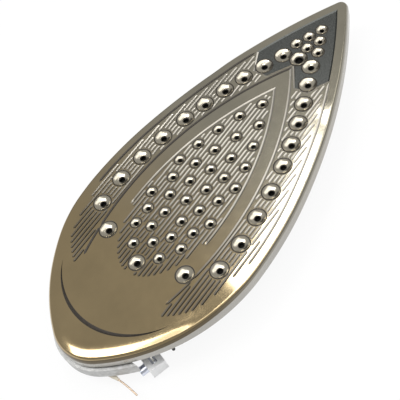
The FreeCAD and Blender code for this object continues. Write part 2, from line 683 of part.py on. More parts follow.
bead = at_left_end(end_rod(0, BEAD_L, BEAD_R).cut(end_rod(0, BEAD_L, PIN_R)))
pin = at_left_end(end_rod(0, PIN_L, PIN_R))
tab = at_left_end(spade_tab())
PARTS = {
    "soleplate_skin": skin(),
    "heater_casting": casting(),
    "heating_element": heating_element(),
    "element_bead_left": bead,
    "element_bead_right": mirrored(bead),
    "terminal_pin_left": pin,
    "terminal_pin_right": mirrored(pin),
    "spade_tab_left": tab,
    "spade_tab_right": mirrored(tab),
    "connector_terminal": mirrored(at_left_end(connector_terminal())),
    "connector_housing": mirrored(at_left_end(connector_housing())),
    "chamber_seal": chamber_seal(),
    "steam_cover": steam_cover(),
    "cover_screws": group([screw(x, y, COVER_Z, SCREW_R, SCREW_L, SCREW_HEAD_R, SCREW_HEAD_H)
                           for x, y in cover_screws()]),
    "inlet_grommet": inlet_grommet(),
    "fuse_case": fuse_rod(FUSE_Y0, FUSE_Y0 + FUSE_L, FUSE_R),
    "fuse_seal": fuse_seal(),
    "fuse_lead": fuse_lead(),
    "fuse_lead_far": fuse_rod(FUSE_Y0 + FUSE_L, FUSE_Y0 + FUSE_L + FAR_LEAD_L, LEAD_R),
    "fuse_clip": fuse_clip(),
    "fuse_clip_screw": screw(*clip_screw_at(), LEDGE_Z - CLIP_T, CLIP_SCREW_R, CLIP_SCREW_L,
                             CLIP_HEAD_R, CLIP_HEAD_H),
    "earth_tab": earth_tab(),
    "earth_screw": screw(EARTH_X, 0, PLATE_Z - TAB_T, EARTH_SCREW_R, EARTH_SCREW_L,
                         EARTH_HEAD_R, EARTH_HEAD_H),
    "locating_studs": group(studs()),
}

os.makedirs("parts", exist_ok=True)
for name, shape in PARTS.items():
    shape.exportStep(f"parts/{name}.step")
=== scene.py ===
import bmesh
import bpy
import math
from mathutils import Matrix, Vector
from mathutils.geometry import delaunay_2d_cdt

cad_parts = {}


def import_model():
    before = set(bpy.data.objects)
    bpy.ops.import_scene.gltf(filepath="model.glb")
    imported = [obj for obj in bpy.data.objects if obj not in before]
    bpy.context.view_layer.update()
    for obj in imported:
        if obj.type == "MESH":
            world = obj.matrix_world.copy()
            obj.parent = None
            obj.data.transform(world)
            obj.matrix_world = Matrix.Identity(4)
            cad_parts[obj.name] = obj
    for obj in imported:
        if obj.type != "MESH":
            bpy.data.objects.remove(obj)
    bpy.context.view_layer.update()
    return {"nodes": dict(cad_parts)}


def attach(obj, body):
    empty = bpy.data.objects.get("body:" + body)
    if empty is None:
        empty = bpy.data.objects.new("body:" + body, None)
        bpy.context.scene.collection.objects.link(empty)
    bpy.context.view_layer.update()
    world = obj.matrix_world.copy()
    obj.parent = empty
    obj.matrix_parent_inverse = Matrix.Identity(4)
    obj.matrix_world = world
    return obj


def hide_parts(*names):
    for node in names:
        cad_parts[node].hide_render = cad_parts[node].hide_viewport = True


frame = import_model()
MM = 0.001

# Sizes of the skin, in millimetres, as in the part's source
HALF_WIDTH, WIDEST_X = 52.9, -37.0
HEEL_SIDE_R, HEEL_NOSE_R = 92.0, 23.5
FORE_R, FORE_ANGLE = 204.0, math.radians(11.4)
TIP_SIDE_R, TIP_R = 322.0, 4.0
FACE_Z, SKIN_T, FLANGE_Z = 26.0, 1.6, 17.6
ROUND_SIDE, ROUND_HEEL = 3.0, 6.0
LINE_PITCH, LINE_D = 2.1, 0.22
LEAF_X = -33.0
OUTER_LEAF, INNER_LEAF = (175.0, 31.0), (163.0, 23.8)
OUTER_LEAF_HEEL_X, INNER_LEAF_HEEL_L = -73.0, 36.5
BORDER_GAP = 1.4
RIM_LINE_INSET, RIM_LINE_HEEL_X = 5.4, -37.0
BAND_HEEL = (-42.0, 4.5, 43.8)
FIELD_D, FIELD_BACK_X = 0.35, 56.2
FIELD_EDGE = [(68.2, 0.0), (FIELD_BACK_X, 8.8), (FIELD_BACK_X, 17.0), (67.8, 22.6)]
CRESCENT_END = (-80.3, 34.2)
CRESCENT_OUTER_X, CRESCENT_W, CRESCENT_D = -100.8, 1.9, 0.4
DISH_R, DISH_HOLE_R = 4.3, 1.4
SMALL_R, SMALL_HOLE_R = 2.6, 1.0
TIP_DISH_R = 3.0
HEEL_VENT_X, HEEL_DISH_R = -63.0, 3.9
APEX_VENT_X, APEX_HOLE_R = 73.5, 2.0
SIDE_VENTS = [(-56.1, 24.6), (-45.8, 37.4), (-29.8, 38.1), (-14.4, 36.5), (0.3, 34.2), (15.0, 30.9),
              (27.3, 27.3), (39.4, 23.1), (50.5, 18.8), (61.7, 13.7), (71.9, 8.7)]
LEAF_VENTS = [(41.0, 0.0), (29.6, 6.2), (18.3, 0.0), (17.7, 11.0), (6.8, 5.2), (5.7, 14.9),
              (-3.4, 0.0), (-4.2, 9.1), (-6.4, 17.7), (-13.9, 5.2), (-16.2, 14.5), (-23.6, 0.0),
              (-25.0, 9.4), (-28.3, 18.7), (-34.2, 5.3), (-36.6, 14.4), (-43.6, 6.3), (-46.2, 14.5),
              (-50.3, 0.0), (-55.6, 8.3)]
TIP_VENT_ROWS = 3
TIP_VENT_X, TIP_VENT_ROW, TIP_VENT_PITCH = 81.5, 6.75, 6.7

# Form of the visible skin, in millimetres and shares; its lines are a little wider than in the source
LINE_W = 1.35
LINE_TAPER, LINE_CLEAR, LINE_MIN = 0.7, 0.25, 2.2
LINE_TOP_GAP, LINE_NOSE_GAP = 0.3, 0.4
BAND_INSET = RIM_LINE_INSET + BORDER_GAP + 0.5
BORDER_TAPER, RIM_LINE_END, INNER_LEAF_START = 1.2, 0.4, 6.0
BORDER_REACH, GROOVE_SEEN = 0.6, 0.1
FIELD_BEVEL, FIELD_STEP = 0.8, 0.5
RING_W, RING_D = 0.62, 0.10
RING_DEEPEST, RING_EDGE = 0.55, 0.6
BOWL_FOOT, BOWL_RISE, BOWL_POWER = 0.25, 0.60, 2.8
BOWL_FLOOR, HOLE_LIP = 0.15, 1.28
HOLE_TOP, HOLE_DEEP = 0.02, 0.9
SLOPE, SLOPE_INSET, SLOPE_W = 0.066, 12.5, 4.5
SLOPE_HEEL_X, SLOPE_HEEL_L = -56.0, 14.0
SLOPE_FORE_X, SLOPE_FORE_L = 57.0, 12.0
HEEL_FALL, HEEL_FALL_W = 0.9, 6.2
HEEL_FALL_X, HEEL_FALL_L = -62.0, 22.0
HEEL_EDGE, SIDE_EDGE = 1.8, 1.6
EDGE_BAND = 0.35
FLANGE_EASE, FLANGE_EASE_H, FLANGE_BACK = 0.25, 0.3, 2.0

# Fineness of the mesh
ARC_POINTS = (20, 44, 20, 56, 14)
SEGMENTS = 48
STEP = 3.0
FIELD_POINTS, BORDER_POINTS, CURVE_POINTS = 28, 46, 40
APEX_CROWDING = 1.15
BOWL_ROWS = 10
RIM_ROWS, COAT_ROWS, EDGE_ROW = 16, 13, 6
ROLL_ROWS, ROLL_X = 8, -70.0
GRID_X, GRID_COLUMNS, GRID_ROWS = -99.0, 52, 24
GRID_HEEL_X, GRID_HEEL_INSET, GRID_SIDE_GAP = -64.0, 9.0, 0.9
CURVES_X, CURVE_CLEAR, POINT_CLEAR = -75.0, 1.3, 0.5
SEARCH_HEEL_X, SEARCH_FORE_X, SEARCH_STEPS = -100.0, 66.0, 30
HOLE_TRIM = 0.998
TRIANGLES, PLAN_WELD = 0, 1e-5
SMOOTH_ANGLE = 12.5
WELD = 2e-6

# Finishes of the skin, in the order of its material slots; RING, DARK, HOLE and EDGE are painted shade, and
# LINE is painted shade towards the heel
COAT, DISH, RING, FIELD, LINE, DARK, BARE, HOLE, EDGE = range(9)


def both(points):
    """Each point and, off the axis, its mirror image."""
    return [(x, s * y) for x, y in points for s in ((1, -1) if y else (1,))]


def clamped(value):
    """A value kept between 0 and 1."""
    return min(1.0, max(0.0, value))


def eased(share):
    """A share from 0 to 1 with soft ends."""
    return share * share * (3 - 2 * share)


def rim_arcs():
    """Arcs of the left half of the plan, heel to tip: centre, radius and two angles."""
    heel_cy, fore_cy = HALF_WIDTH - HEEL_SIDE_R, HALF_WIDTH - FORE_R
    nose_x = WIDEST_X - math.sqrt((HEEL_SIDE_R - HEEL_NOSE_R) ** 2 - heel_cy ** 2)
    nose_a = math.atan2(-heel_cy, nose_x - WIDEST_X)
    side_cx = WIDEST_X + (FORE_R - TIP_SIDE_R) * math.sin(FORE_ANGLE)
    side_cy = fore_cy + (FORE_R - TIP_SIDE_R) * math.cos(FORE_ANGLE)
    tip_x = side_cx + math.sqrt((TIP_SIDE_R - TIP_R) ** 2 - side_cy ** 2)
    tip_a = math.atan2(-side_cy, tip_x - side_cx)
    fore_a = math.pi / 2 - FORE_ANGLE
    return [
        (nose_x, 0, HEEL_NOSE_R, math.pi, nose_a),
        (WIDEST_X, heel_cy, HEEL_SIDE_R, nose_a, math.pi / 2),
        (WIDEST_X, fore_cy, FORE_R, math.pi / 2, fore_a),
        (side_cx, side_cy, TIP_SIDE_R, fore_a, tip_a),
        (tip_x, 0, TIP_R, tip_a, 0.0),
    ]


def rim_samples():
    """Points round the rim with their outward normal and the width and depth of the rounded edge there."""
    left = []
    for k, (cx, cy, r, a0, a1) in enumerate(rim_arcs()):
        for i in range(ARC_POINTS[k]):
            t = i / ARC_POINTS[k]
            a = a0 + (a1 - a0) * t
            share = (0.0, t, 1.0, 1.0, 1.0)[k]
            wide = HEEL_EDGE + (SIDE_EDGE - HEEL_EDGE) * share
            deep = ROUND_HEEL + (ROUND_SIDE - ROUND_HEEL) * share
            left.append((cx + r * math.cos(a), cy + r * math.sin(a), math.cos(a), math.sin(a), wide, deep))
    tip_x = rim_arcs()[4][0] + TIP_R
    right = [(x, -y, nx, -ny, wide, deep) for x, y, nx, ny, wide, deep in reversed(left[1:])]
    return left + [(tip_x, 0.0, 1.0, 0.0, SIDE_EDGE, ROUND_SIDE)] + right


def inset_y(inset, x):
    """Half width of the plan at x, drawn in by a distance, ahead of the widest part or behind it."""
    arcs = rim_arcs()
    if x < WIDEST_X:
        cx, cy, r = arcs[1][:3]
    elif x < arcs[2][0] + (FORE_R - inset) * math.sin(FORE_ANGLE):
        cx, cy, r = arcs[2][:3]
    else:
        cx, cy, r = arcs[3][:3]
    return cy + math.sqrt(max(0.0, (r - inset) ** 2 - (x - cx) ** 2))


def leaf_y(leaf, x, grow=0.0):
    """Half width of a leaf at x, negative past its point."""
    r, half = leaf[0] + grow, leaf[1] + grow
    return half - r + math.sqrt(max(0.0, r ** 2 - (x - LEAF_X) ** 2))


def leaf_apex(leaf, grow=0.0):
    """Where the two arcs of a leaf meet."""
    r, half = leaf[0] + grow, leaf[1] + grow
    return LEAF_X + math.sqrt(r ** 2 - (half - r) ** 2)


def crown(x, y):
    """How far the face falls away: a slight even slope along both sides and the roll at the heel."""
    s = max(0.0, abs(y) - inset_y(SLOPE_INSET, x))
    u = min(1.0, s / SLOPE_W)
    fall = SLOPE_W * (u ** 3 - u ** 4 / 2) + max(0.0, s - SLOPE_W)
    fade = min(clamped((x - SLOPE_HEEL_X) / SLOPE_HEEL_L), clamped((SLOPE_FORE_X - x) / SLOPE_FORE_L))
    return SLOPE * fall * eased(fade) + heel_fall(x, y)


def heel_fall(x, y):
    """How far the face rolls off before the rounded edge of the heel."""
    nose_x, _, nose_r, _, nose_a = rim_arcs()[0]
    _, heel_cy, side_r = rim_arcs()[1][:3]
    if math.atan2(abs(y), x - nose_x) > nose_a:
        inset = nose_r - math.hypot(x - nose_x, y)
    else:
        inset = side_r - math.hypot(x - WIDEST_X, abs(y) - heel_cy)
    near = clamped((HEEL_EDGE + HEEL_FALL_W - inset) / HEEL_FALL_W)
    return HEEL_FALL * near ** 2 * eased(clamped((HEEL_FALL_X - x) / HEEL_FALL_L))


def vents():
    """Every vent: place, dish radius, hole radius and how deep its edge lies."""
    found = [(HEEL_VENT_X, 0.0, HEEL_DISH_R, DISH_HOLE_R, 0.0),
             (APEX_VENT_X, 0.0, DISH_R, APEX_HOLE_R, FIELD_D)]
    found += [(x, y, DISH_R, DISH_HOLE_R, FIELD_D if x > FIELD_BACK_X else 0.0) for x, y in both(SIDE_VENTS)]
    found += [(x, y, SMALL_R, SMALL_HOLE_R, 0.0) for x, y in both(LEAF_VENTS)]
    for row in range(TIP_VENT_ROWS):
        for n in range(TIP_VENT_ROWS - row):
            y = (n - (TIP_VENT_ROWS - 1 - row) / 2) * TIP_VENT_PITCH
            found.append((TIP_VENT_X + row * TIP_VENT_ROW, y, TIP_DISH_R, SMALL_HOLE_R, FIELD_D))
    return found


def field_polygon(inset):
    """Edge of the sunk field at the tip, drawn in by a distance; each corner moves by its own share."""
    apex, inner, outer, fore = FIELD_EDGE
    edge = [
        (apex[0] + inset * 1.75, 0.0),
        (inner[0] + inset, inner[1] + inset * 0.2),
        (outer[0] + inset, outer[1] - inset * 0.65),
        (fore[0] + inset * 0.35, fore[1] - inset),
    ]
    cx, cy, r = rim_arcs()[3][:3]
    depth = RIM_LINE_INSET + inset
    tip_x = cx + math.sqrt((r - depth) ** 2 - cy ** 2)
    start = edge[-1][0]
    xs = [start + (tip_x - start) * i / FIELD_POINTS for i in range(FIELD_POINTS)]
    left = edge + [(x, inset_y(depth, x)) for x in xs]
    return left + [(tip_x, 0.0)] + [(x, -y) for x, y in reversed(left[1:])]


def inside(polygon, x, y):
    """Whether a plan point lies in a polygon."""
    odd = False
    for (x0, y0), (x1, y1) in zip(polygon, polygon[1:] + polygon[:1]):
        if (y0 > y) != (y1 > y) and x < x0 + (y - y0) / (y1 - y0) * (x1 - x0):
            odd = not odd
    return odd


def spans(low, high, y, holes):
    """Stretches of a straight line at y between two ends, clear of the dishes."""
    free = [(low, high)]
    for vx, vy, r, _, _ in holes:
        gap = (r + RING_W + LINE_CLEAR) ** 2 - (y - vy) ** 2
        if gap > 0:
            half = math.sqrt(gap)
            cut = []
            for a, b in free:
                cut += [(a, min(b, vx - half)), (max(a, vx + half), b)]
            free = [(a, b) for a, b in cut if b - a > LINE_MIN]
    return free


def search(test, a, b):
    """Point between a, where a test holds, and b, where it doesn't."""
    for _ in range(SEARCH_STEPS):
        mid = (a + b) / 2
        a, b = (mid, b) if test(mid) else (a, mid)
    return a


class Plan:
    """Points and edges of the flat face for one triangulation, each point with its depth."""

    def __init__(self):
        self.points, self.depths, self.edges = [], [], []

    def add(self, x, y, depth):
        self.points.append((x, y))
        self.depths.append(depth)
        return len(self.points) - 1

    def loop(self, points, depth):
        """A closed outline at one depth."""
        ids = [self.add(x, y, depth) for x, y in points]
        self.edges += list(zip(ids, ids[1:] + ids[:1]))

    def groove(self, middle, sides, depth):
        """A V groove: a middle line at a depth between two edges that share its end points."""
        ends = [self.add(*middle[0], 0.0), self.add(*middle[-1], 0.0)]
        runs = [[ends[0]] + [self.add(*p, depth) for p in middle[1:-1]] + [ends[1]]]
        for side in sides:
            runs.append([ends[0]] + [self.add(*p, 0.0) for p in side] + [ends[1]])
        for run in runs:
            self.edges += list(zip(run, run[1:]))


def straight_groove(plan, low, high, y):
    """One fine line along the plate."""
    n = max(2, int((high - low) / STEP))
    xs = [low + LINE_TAPER + (high - low - 2 * LINE_TAPER) * i / n for i in range(n + 1)]
    middle = [(low, y)] + [(x, y) for x in xs] + [(high, y)]
    plan.groove(middle, [[(x, y + s * LINE_W / 2) for x in xs] for s in (1, -1)], LINE_D)


def leaf_groove(plan, leaf, heel_x):
    """The border groove of a leaf, up one side to its point and down the other."""
    def side(grow, first):
        apex = leaf_apex(leaf, grow)
        shares = [1 - (1 - i / BORDER_POINTS) ** APEX_CROWDING for i in range(BORDER_POINTS)]
        xs = [first + (apex - first) * share for share in shares]
        left = [(x, leaf_y(leaf, x, grow)) for x in xs]
        return left + [(apex, 0.0)] + [(x, -y) for x, y in reversed(left)]
    edges = [side(grow, heel_x + BORDER_TAPER) for grow in (LINE_W / 2, -LINE_W / 2)]
    plan.groove(side(0.0, heel_x), edges, LINE_D)


def rim_groove(plan, s):
    """The groove inside the rim on one side, from the widest part to the tip field."""
    first, end = RIM_LINE_HEEL_X + BORDER_TAPER, FIELD_EDGE[-1][0] - RIM_LINE_END
    xs = [first + (end - first) * i / CURVE_POINTS for i in range(CURVE_POINTS)]
    middle = [(x, s * inset_y(RIM_LINE_INSET, x)) for x in [RIM_LINE_HEEL_X] + xs + [end]]
    edges = [[(x, s * inset_y(RIM_LINE_INSET + d, x)) for x in xs] for d in (LINE_W / 2, -LINE_W / 2)]
    plan.groove(middle, edges, LINE_D)


def crescent_groove(plan):
    """The tapered groove across the heel; gives its outline."""
    def arc(x):
        rise = CRESCENT_END[0] - x
        r = (CRESCENT_END[1] ** 2 + rise ** 2) / (2 * rise)
        top = math.asin(min(1.0, CRESCENT_END[1] / r))
        if rise >= r:
            top = math.pi - top
        turns = [top * (1 - 2 * i / CURVE_POINTS) for i in range(CURVE_POINTS + 1)]
        return [(x + r - r * math.cos(t), r * math.sin(t)) for t in turns]
    outer, inner = arc(CRESCENT_OUTER_X), arc(CRESCENT_OUTER_X + CRESCENT_W)
    plan.groove(arc(CRESCENT_OUTER_X + CRESCENT_W / 2), [outer[1:-1], inner[1:-1]], CRESCENT_D)
    return outer + list(reversed(inner[1:-1]))


def face_lines(plan, holes, field):
    """All the straight lines: the inner leaf's and those of the two outer bands."""
    grow = -BORDER_GAP
    half = INNER_LEAF[1] + grow
    band_x, band_y, band_r = BAND_HEEL
    for n in range(int(HALF_WIDTH / LINE_PITCH)):
        y = (n + 0.5) * LINE_PITCH

        def in_leaf(x):
            return leaf_y(INNER_LEAF, x, grow) > y

        def in_band(x):
            return inset_y(BAND_INSET, x) > y

        def past_leaf(x):
            return leaf_y(OUTER_LEAF, x, BORDER_GAP) < y

        runs = []
        if y < half - LINE_TOP_GAP:
            front = search(in_leaf, LEAF_X, leaf_apex(INNER_LEAF, grow))
            back = LEAF_X - INNER_LEAF_HEEL_L * math.sqrt(1 - (y / half) ** 2)
            runs.append((back, front - LINE_NOSE_GAP))
        heel = band_x - math.sqrt(max(0.0, band_r ** 2 - (y - band_y) ** 2))
        front = search(in_band, WIDEST_X, SEARCH_FORE_X)
        if past_leaf(LEAF_X):
            if in_band(WIDEST_X) and abs(y - band_y) < band_r:
                runs.append((max(heel, search(in_band, WIDEST_X, SEARCH_HEEL_X)), front))
        else:
            runs.append((search(past_leaf, SEARCH_FORE_X, LEAF_X), front))
            back = search(past_leaf, SEARCH_HEEL_X, LEAF_X)
            if back - heel > LINE_MIN:
                runs.append((heel, back))
        for low, high in runs:
            while high > low and inside(field, high, y):
                high -= FIELD_STEP
            for a, b in spans(low, high, y, holes):
                for s in (1, -1):
                    straight_groove(plan, a, b, s * y)


def fill_points(plan, rim, holes, crescent):
    """Extra points between the lines and where the face rolls off at the heel, so that it curves evenly."""
    found = []
    for step in range(1, ROLL_ROWS + 1):
        more = HEEL_FALL_W * step / ROLL_ROWS
        found += [(x - nx * (e + more), y - ny * (e + more))
                  for x, y, nx, ny, e, _ in rim[step % 2::2] if x < ROLL_X]
    for n in range(-GRID_ROWS, GRID_ROWS + 1):
        y = n * LINE_PITCH
        for i in range(GRID_COLUMNS):
            x = GRID_X + STEP * i
            if abs(y) < inset_y(GRID_HEEL_INSET if x < GRID_HEEL_X else SIDE_EDGE + GRID_SIDE_GAP, x):
                found.append((x, y))
    for x, y in found:
        curves = [leaf_y(OUTER_LEAF, x), leaf_y(INNER_LEAF, x), inset_y(RIM_LINE_INSET, x)]
        if x > CURVES_X and min(abs(abs(y) - c) for c in curves) < CURVE_CLEAR:
            continue
        if any(math.hypot(x - vx, y - vy) < r + RING_W + POINT_CLEAR for vx, vy, r, _, _ in holes):
            continue
        if inside(crescent, x, y):
            continue
        if min(math.hypot(x - cx, y - cy) for cx, cy in crescent) > POINT_CLEAR:
            plan.add(x, y, 0.0)


def bowl(verts, faces, kinds, vent):
    """One vent: a ring of painted shade, rounded dish and the hole through the sheet, with its lip and walls
    painted near black as shade.
    """
    x, y, r, hole, sunk = vent
    floor_z = FACE_Z - SKIN_T
    top = FACE_Z - sunk
    lip = top - RING_D * RING_EDGE
    # The outer ring takes the ring finish, painted shade round the dish.
    rings = [(r + RING_W, top, RING), (r + RING_W * RING_DEEPEST, top - RING_D, RING), (r, lip, DISH)]
    curved = BOWL_RISE / BOWL_POWER
    full = BOWL_FOOT + curved
    reach = min(r - hole, (lip - floor_z - BOWL_FLOOR) / full)
    for i in range(1, BOWL_ROWS + 1):
        q = r + (hole * HOLE_LIP - r) * i / BOWL_ROWS
        t = (q - hole) / (r - hole)
        z = lip - reach * (full - BOWL_FOOT * t - curved * t ** BOWL_POWER)
        # The last row, at the hole's lip, also takes the ring finish as painted shade.
        rings.append((q, z, DISH if i < BOWL_ROWS else RING))
    # The hole's walls, painted near black as shade, run on below the sheet.
    rings += [(hole, floor_z + HOLE_TOP, HOLE), (hole, floor_z - HOLE_DEEP, HOLE)]
    start = len(verts)
    for q, z, _ in rings:
        for i in range(SEGMENTS):
            a = 2 * math.pi * i / SEGMENTS
            px, py = x + q * math.cos(a), y + q * math.sin(a)
            verts.append((px, py, z - crown(px, py)))
    for k, ring in enumerate(rings[:-1]):
        for i in range(SEGMENTS):
            j = (i + 1) % SEGMENTS
            a, b = start + k * SEGMENTS, start + (k + 1) * SEGMENTS
            faces.append((a + i, b + i, b + j, a + j))
            kinds.append(ring[2])


def rim_edge(verts, faces, kinds, rim):
    """The rounded edge of the face and the flange turned down from it."""
    rings = []
    for k in range(RIM_ROWS + 1):
        ring = []
        for x, y, nx, ny, e, deep in rim:
            inner_x, inner_y = x - nx * e, y - ny * e
            drop = crown(inner_x, inner_y)
            lean = math.atan(2 * heel_fall(inner_x, inner_y) / HEEL_FALL_W)
            t = lean + (math.pi / 2 - lean) * k / RIM_ROWS
            d = e * (1 - math.sin(t)) / (1 - math.sin(lean))
            down = drop + (deep - drop) * (1 - math.cos(t) / math.cos(lean))
            ring.append((x - nx * d, y - ny * d, FACE_Z - down))
        # Rows from EDGE_ROW take the darker edge finish, painted shade on the lower part of the rounding.
        rings.append((ring, COAT if k < EDGE_ROW else EDGE if k < COAT_ROWS else BARE))
    flange = [(0.0, FLANGE_Z + FLANGE_EASE_H), (FLANGE_EASE, FLANGE_Z), (SKIN_T, FLANGE_Z),
              (SKIN_T, FLANGE_Z + FLANGE_BACK)]
    for d, z in flange:
        rings.append(([(x - nx * d, y - ny * d, z) for x, y, nx, ny, _, _ in rim], BARE))
    start, n = len(verts), len(rim)
    for ring, _ in rings:
        verts += ring
    for k, (_, kind) in enumerate(rings[:-1]):
        for i in range(n):
            j = (i + 1) % n
            a, b = start + k * n, start + (k + 1) * n
            faces.append((a + i, a + j, b + j, b + i))
            kinds.append(kind)


def face_kind(cx, cy, low, field, sunk_field, crescent):
    """Finish of one triangle of the face, from its middle and the height of its lowest corner."""
    if cx > FIELD_BACK_X and inside(field, cx, cy):
        return FIELD if cx > FIELD_EDGE[0][0] or inside(sunk_field, cx, cy) else LINE
    if low >= FACE_Z - GROOVE_SEEN:
        return COAT
    # Painted shade: the crescent groove across the heel takes the dark groove finish.
    if cx < CRESCENT_END[0] and inside(crescent, cx, cy):
        return DARK
    # Painted shade: border grooves by the rim and the outer leaf, on one side only, take the dark groove
    # finish.
    border = min(abs(cy - inset_y(RIM_LINE_INSET, cx)), abs(cy - leaf_y(OUTER_LEAF, cx)))
    return DARK if border < LINE_W * BORDER_REACH and cy > 0.0 else LINE


def build_skin():
    """The coined sheet as one mesh, with a material slot for each finish."""
    verts, faces, kinds = [], [], []
    rim = rim_samples()
    holes = vents()
    field, sunk_field = field_polygon(0.0), field_polygon(FIELD_BEVEL)
    plan = Plan()
    for more in (0.0, EDGE_BAND):
        plan.loop([(x - nx * (e + more), y - ny * (e + more)) for x, y, nx, ny, e, _ in rim], 0.0)
    plan.loop(field, 0.0)
    plan.loop(sunk_field, FIELD_D)
    turns = [2 * math.pi * i / SEGMENTS for i in range(SEGMENTS)]
    for x, y, r, _, sunk in holes:
        plan.loop([(x + (r + RING_W) * math.cos(a), y + (r + RING_W) * math.sin(a)) for a in turns], sunk)
    leaf_groove(plan, OUTER_LEAF, OUTER_LEAF_HEEL_X)
    leaf_groove(plan, INNER_LEAF, LEAF_X - INNER_LEAF_START)
    for s in (1, -1):
        rim_groove(plan, s)
    crescent = crescent_groove(plan)
    face_lines(plan, holes, field)
    fill_points(plan, rim, holes, crescent)
    out = delaunay_2d_cdt([Vector(p) for p in plan.points], plan.edges, [], TRIANGLES, PLAN_WELD)
    for co, sources in zip(out[0], out[3]):
        depth = max([plan.depths[i] for i in sources], default=0.0)
        verts.append((co.x, co.y, FACE_Z - depth - crown(co.x, co.y)))
    for tri in out[2]:
        cx, cy = [sum(verts[i][k] for i in tri) / 3 for k in (0, 1)]
        if any((cx - x) ** 2 + (cy - y) ** 2 < (r + RING_W) ** 2 * HOLE_TRIM for x, y, r, _, _ in holes):
            continue
        low = min(verts[i][2] + crown(*verts[i][:2]) for i in tri)
        faces.append(tuple(tri))
        kinds.append(face_kind(cx, cy, low, field, sunk_field, crescent))
    for vent in holes:
        bowl(verts, faces, kinds, vent)
    rim_edge(verts, faces, kinds, rim)
    return verts, faces, kinds


def mesh_object(name, verts, faces, kinds, materials):
    """Mesh in metres with its materials, welded and with smooth shading up to an angle."""
    mesh = bpy.data.meshes.new(name)
    mesh.from_pydata([(x * MM, y * MM, z * MM) for x, y, z in verts], [], faces)
    for m in materials:
        mesh.materials.append(m)
    mesh.polygons.foreach_set("material_index", kinds)
    bm = bmesh.new()
    bm.from_mesh(mesh)
    bmesh.ops.remove_doubles(bm, verts=bm.verts, dist=WELD)
    bmesh.ops.recalc_face_normals(bm, faces=bm.faces)
    bm.to_mesh(mesh)
    bm.free()
    mesh.shade_smooth()
    mesh.set_sharp_from_angle(angle=math.radians(SMOOTH_ANGLE))
    made = bpy.data.objects.new(name, mesh)
    bpy.context.scene.collection.objects.link(made)
    return made


# Range in which most of a noise texture's values lie, and the two ends of a colour blend in it
NOISE_RANGE = (0.25, 0.75)
BLEND_ENDS = (0.3, 0.7)
# Sockets of the mix node for colours: share, first and second colour, and result
MIX_SHARE, MIX_FIRST, MIX_SECOND, MIX_RESULT = 0, 6, 7, 2
# How much finer a blend's gloss and bump are than its colour, and the height of that bump in metres
GLOSS_FINER, BUMP_FINER, BUMP_HEIGHT = 2.3, 6.0, 0.0001


class Shader:
    """A procedural material: a principled shader and the nodes that feed it."""

    def __init__(self, name, **sockets):
        self.material = bpy.data.materials.new(name)
        self.material.use_nodes = True
        self.tree = self.material.node_tree
        self.shader = self.tree.nodes["Principled BSDF"]
        for key, value in sockets.items():
            self.shader.inputs[key.replace("_", " ")].default_value = value
        self.place = self.node("ShaderNodeTexCoord").outputs["Object"]

    def node(self, kind, **settings):
        made = self.tree.nodes.new(kind)
        for key, value in settings.items():
            setattr(made, key, value)
        return made

    def feed(self, value, socket):
        self.tree.links.new(value, socket)

    def scaled(self, sx, sy, sz):
        made = self.node("ShaderNodeMapping")
        self.feed(self.place, made.inputs["Vector"])
        made.inputs["Scale"].default_value = (sx, sy, sz)
        return made.outputs["Vector"]

    def noise(self, scale, detail=4.0, rough=0.55, vector=None):
        made = self.node("ShaderNodeTexNoise")
        self.feed(vector or self.place, made.inputs["Vector"])
        made.inputs["Scale"].default_value = scale
        made.inputs["Detail"].default_value = detail
        made.inputs["Roughness"].default_value = rough
        return made.outputs["Fac"]

    def ramp(self, value, places, colours):
        """Colours that follow a value, each at its place from 0 to 1."""
        made = self.node("ShaderNodeValToRGB")
        self.feed(value, made.inputs["Fac"])
        for element, at, colour in zip(made.color_ramp.elements, places, colours):
            element.position = at
            element.color = (*colour, 1.0)
        return made.outputs["Color"]

    def span(self, value, low, high):
        """A noise value spread between two ends."""
        made = self.node("ShaderNodeMapRange")
        self.feed(value, made.inputs["Value"])
        made.inputs["From Min"].default_value, made.inputs["From Max"].default_value = NOISE_RANGE
        made.inputs["To Min"].default_value = low
        made.inputs["To Max"].default_value = high
        return made.outputs["Result"]

    def along(self, axis, start, stop):
        """Share from 0 to 1 along an axis of the object."""
        split = self.node("ShaderNodeSeparateXYZ")
        self.feed(self.place, split.inputs["Vector"])
        made = self.node("ShaderNodeMapRange", interpolation_type="SMOOTHSTEP")
        self.feed(split.outputs[axis], made.inputs["Value"])
        made.inputs["From Min"].default_value = start
        made.inputs["From Max"].default_value = stop
        return made.outputs["Result"]

    def mixed(self, share, first, second):
        made = self.node("ShaderNodeMix", data_type="RGBA")
        self.feed(share, made.inputs[MIX_SHARE])
        self.feed(first, made.inputs[MIX_FIRST])
        self.feed(second, made.inputs[MIX_SECOND])
        return made.outputs[MIX_RESULT]

    def colour(self, value):
        self.feed(value, self.shader.inputs["Base Color"])

    def rough(self, value):
        self.feed(value, self.shader.inputs["Roughness"])

    def bump(self, height, strength, distance):
        made = self.node("ShaderNodeBump")
        self.feed(height, made.inputs["Height"])
        made.inputs["Strength"].default_value = strength
        made.inputs["Distance"].default_value = distance
        self.feed(made.outputs["Normal"], self.shader.inputs["Normal"])


def blended(name, dark, pale, scale, rough, bump, stretch=None, **sockets):
    """Material whose colour and roughness wander between two ends, with a fine bump."""
    made = Shader(name, **sockets)
    grain = made.noise(scale, vector=made.scaled(*stretch) if stretch else None)
    made.colour(made.ramp(grain, BLEND_ENDS, (dark, pale)))
    made.rough(made.span(made.noise(scale * GLOSS_FINER), *rough))
    made.bump(made.noise(scale * BUMP_FINER, 3.0), bump, BUMP_HEIGHT)
    return made.material


# Flake and tone of the enamel: share of the flake, where the tones lie, and how far they go either way
FLAKE_SHARE, TONE_ENDS, TONES = 0.45, (0.5, 0.95), (0.92, 1.08)


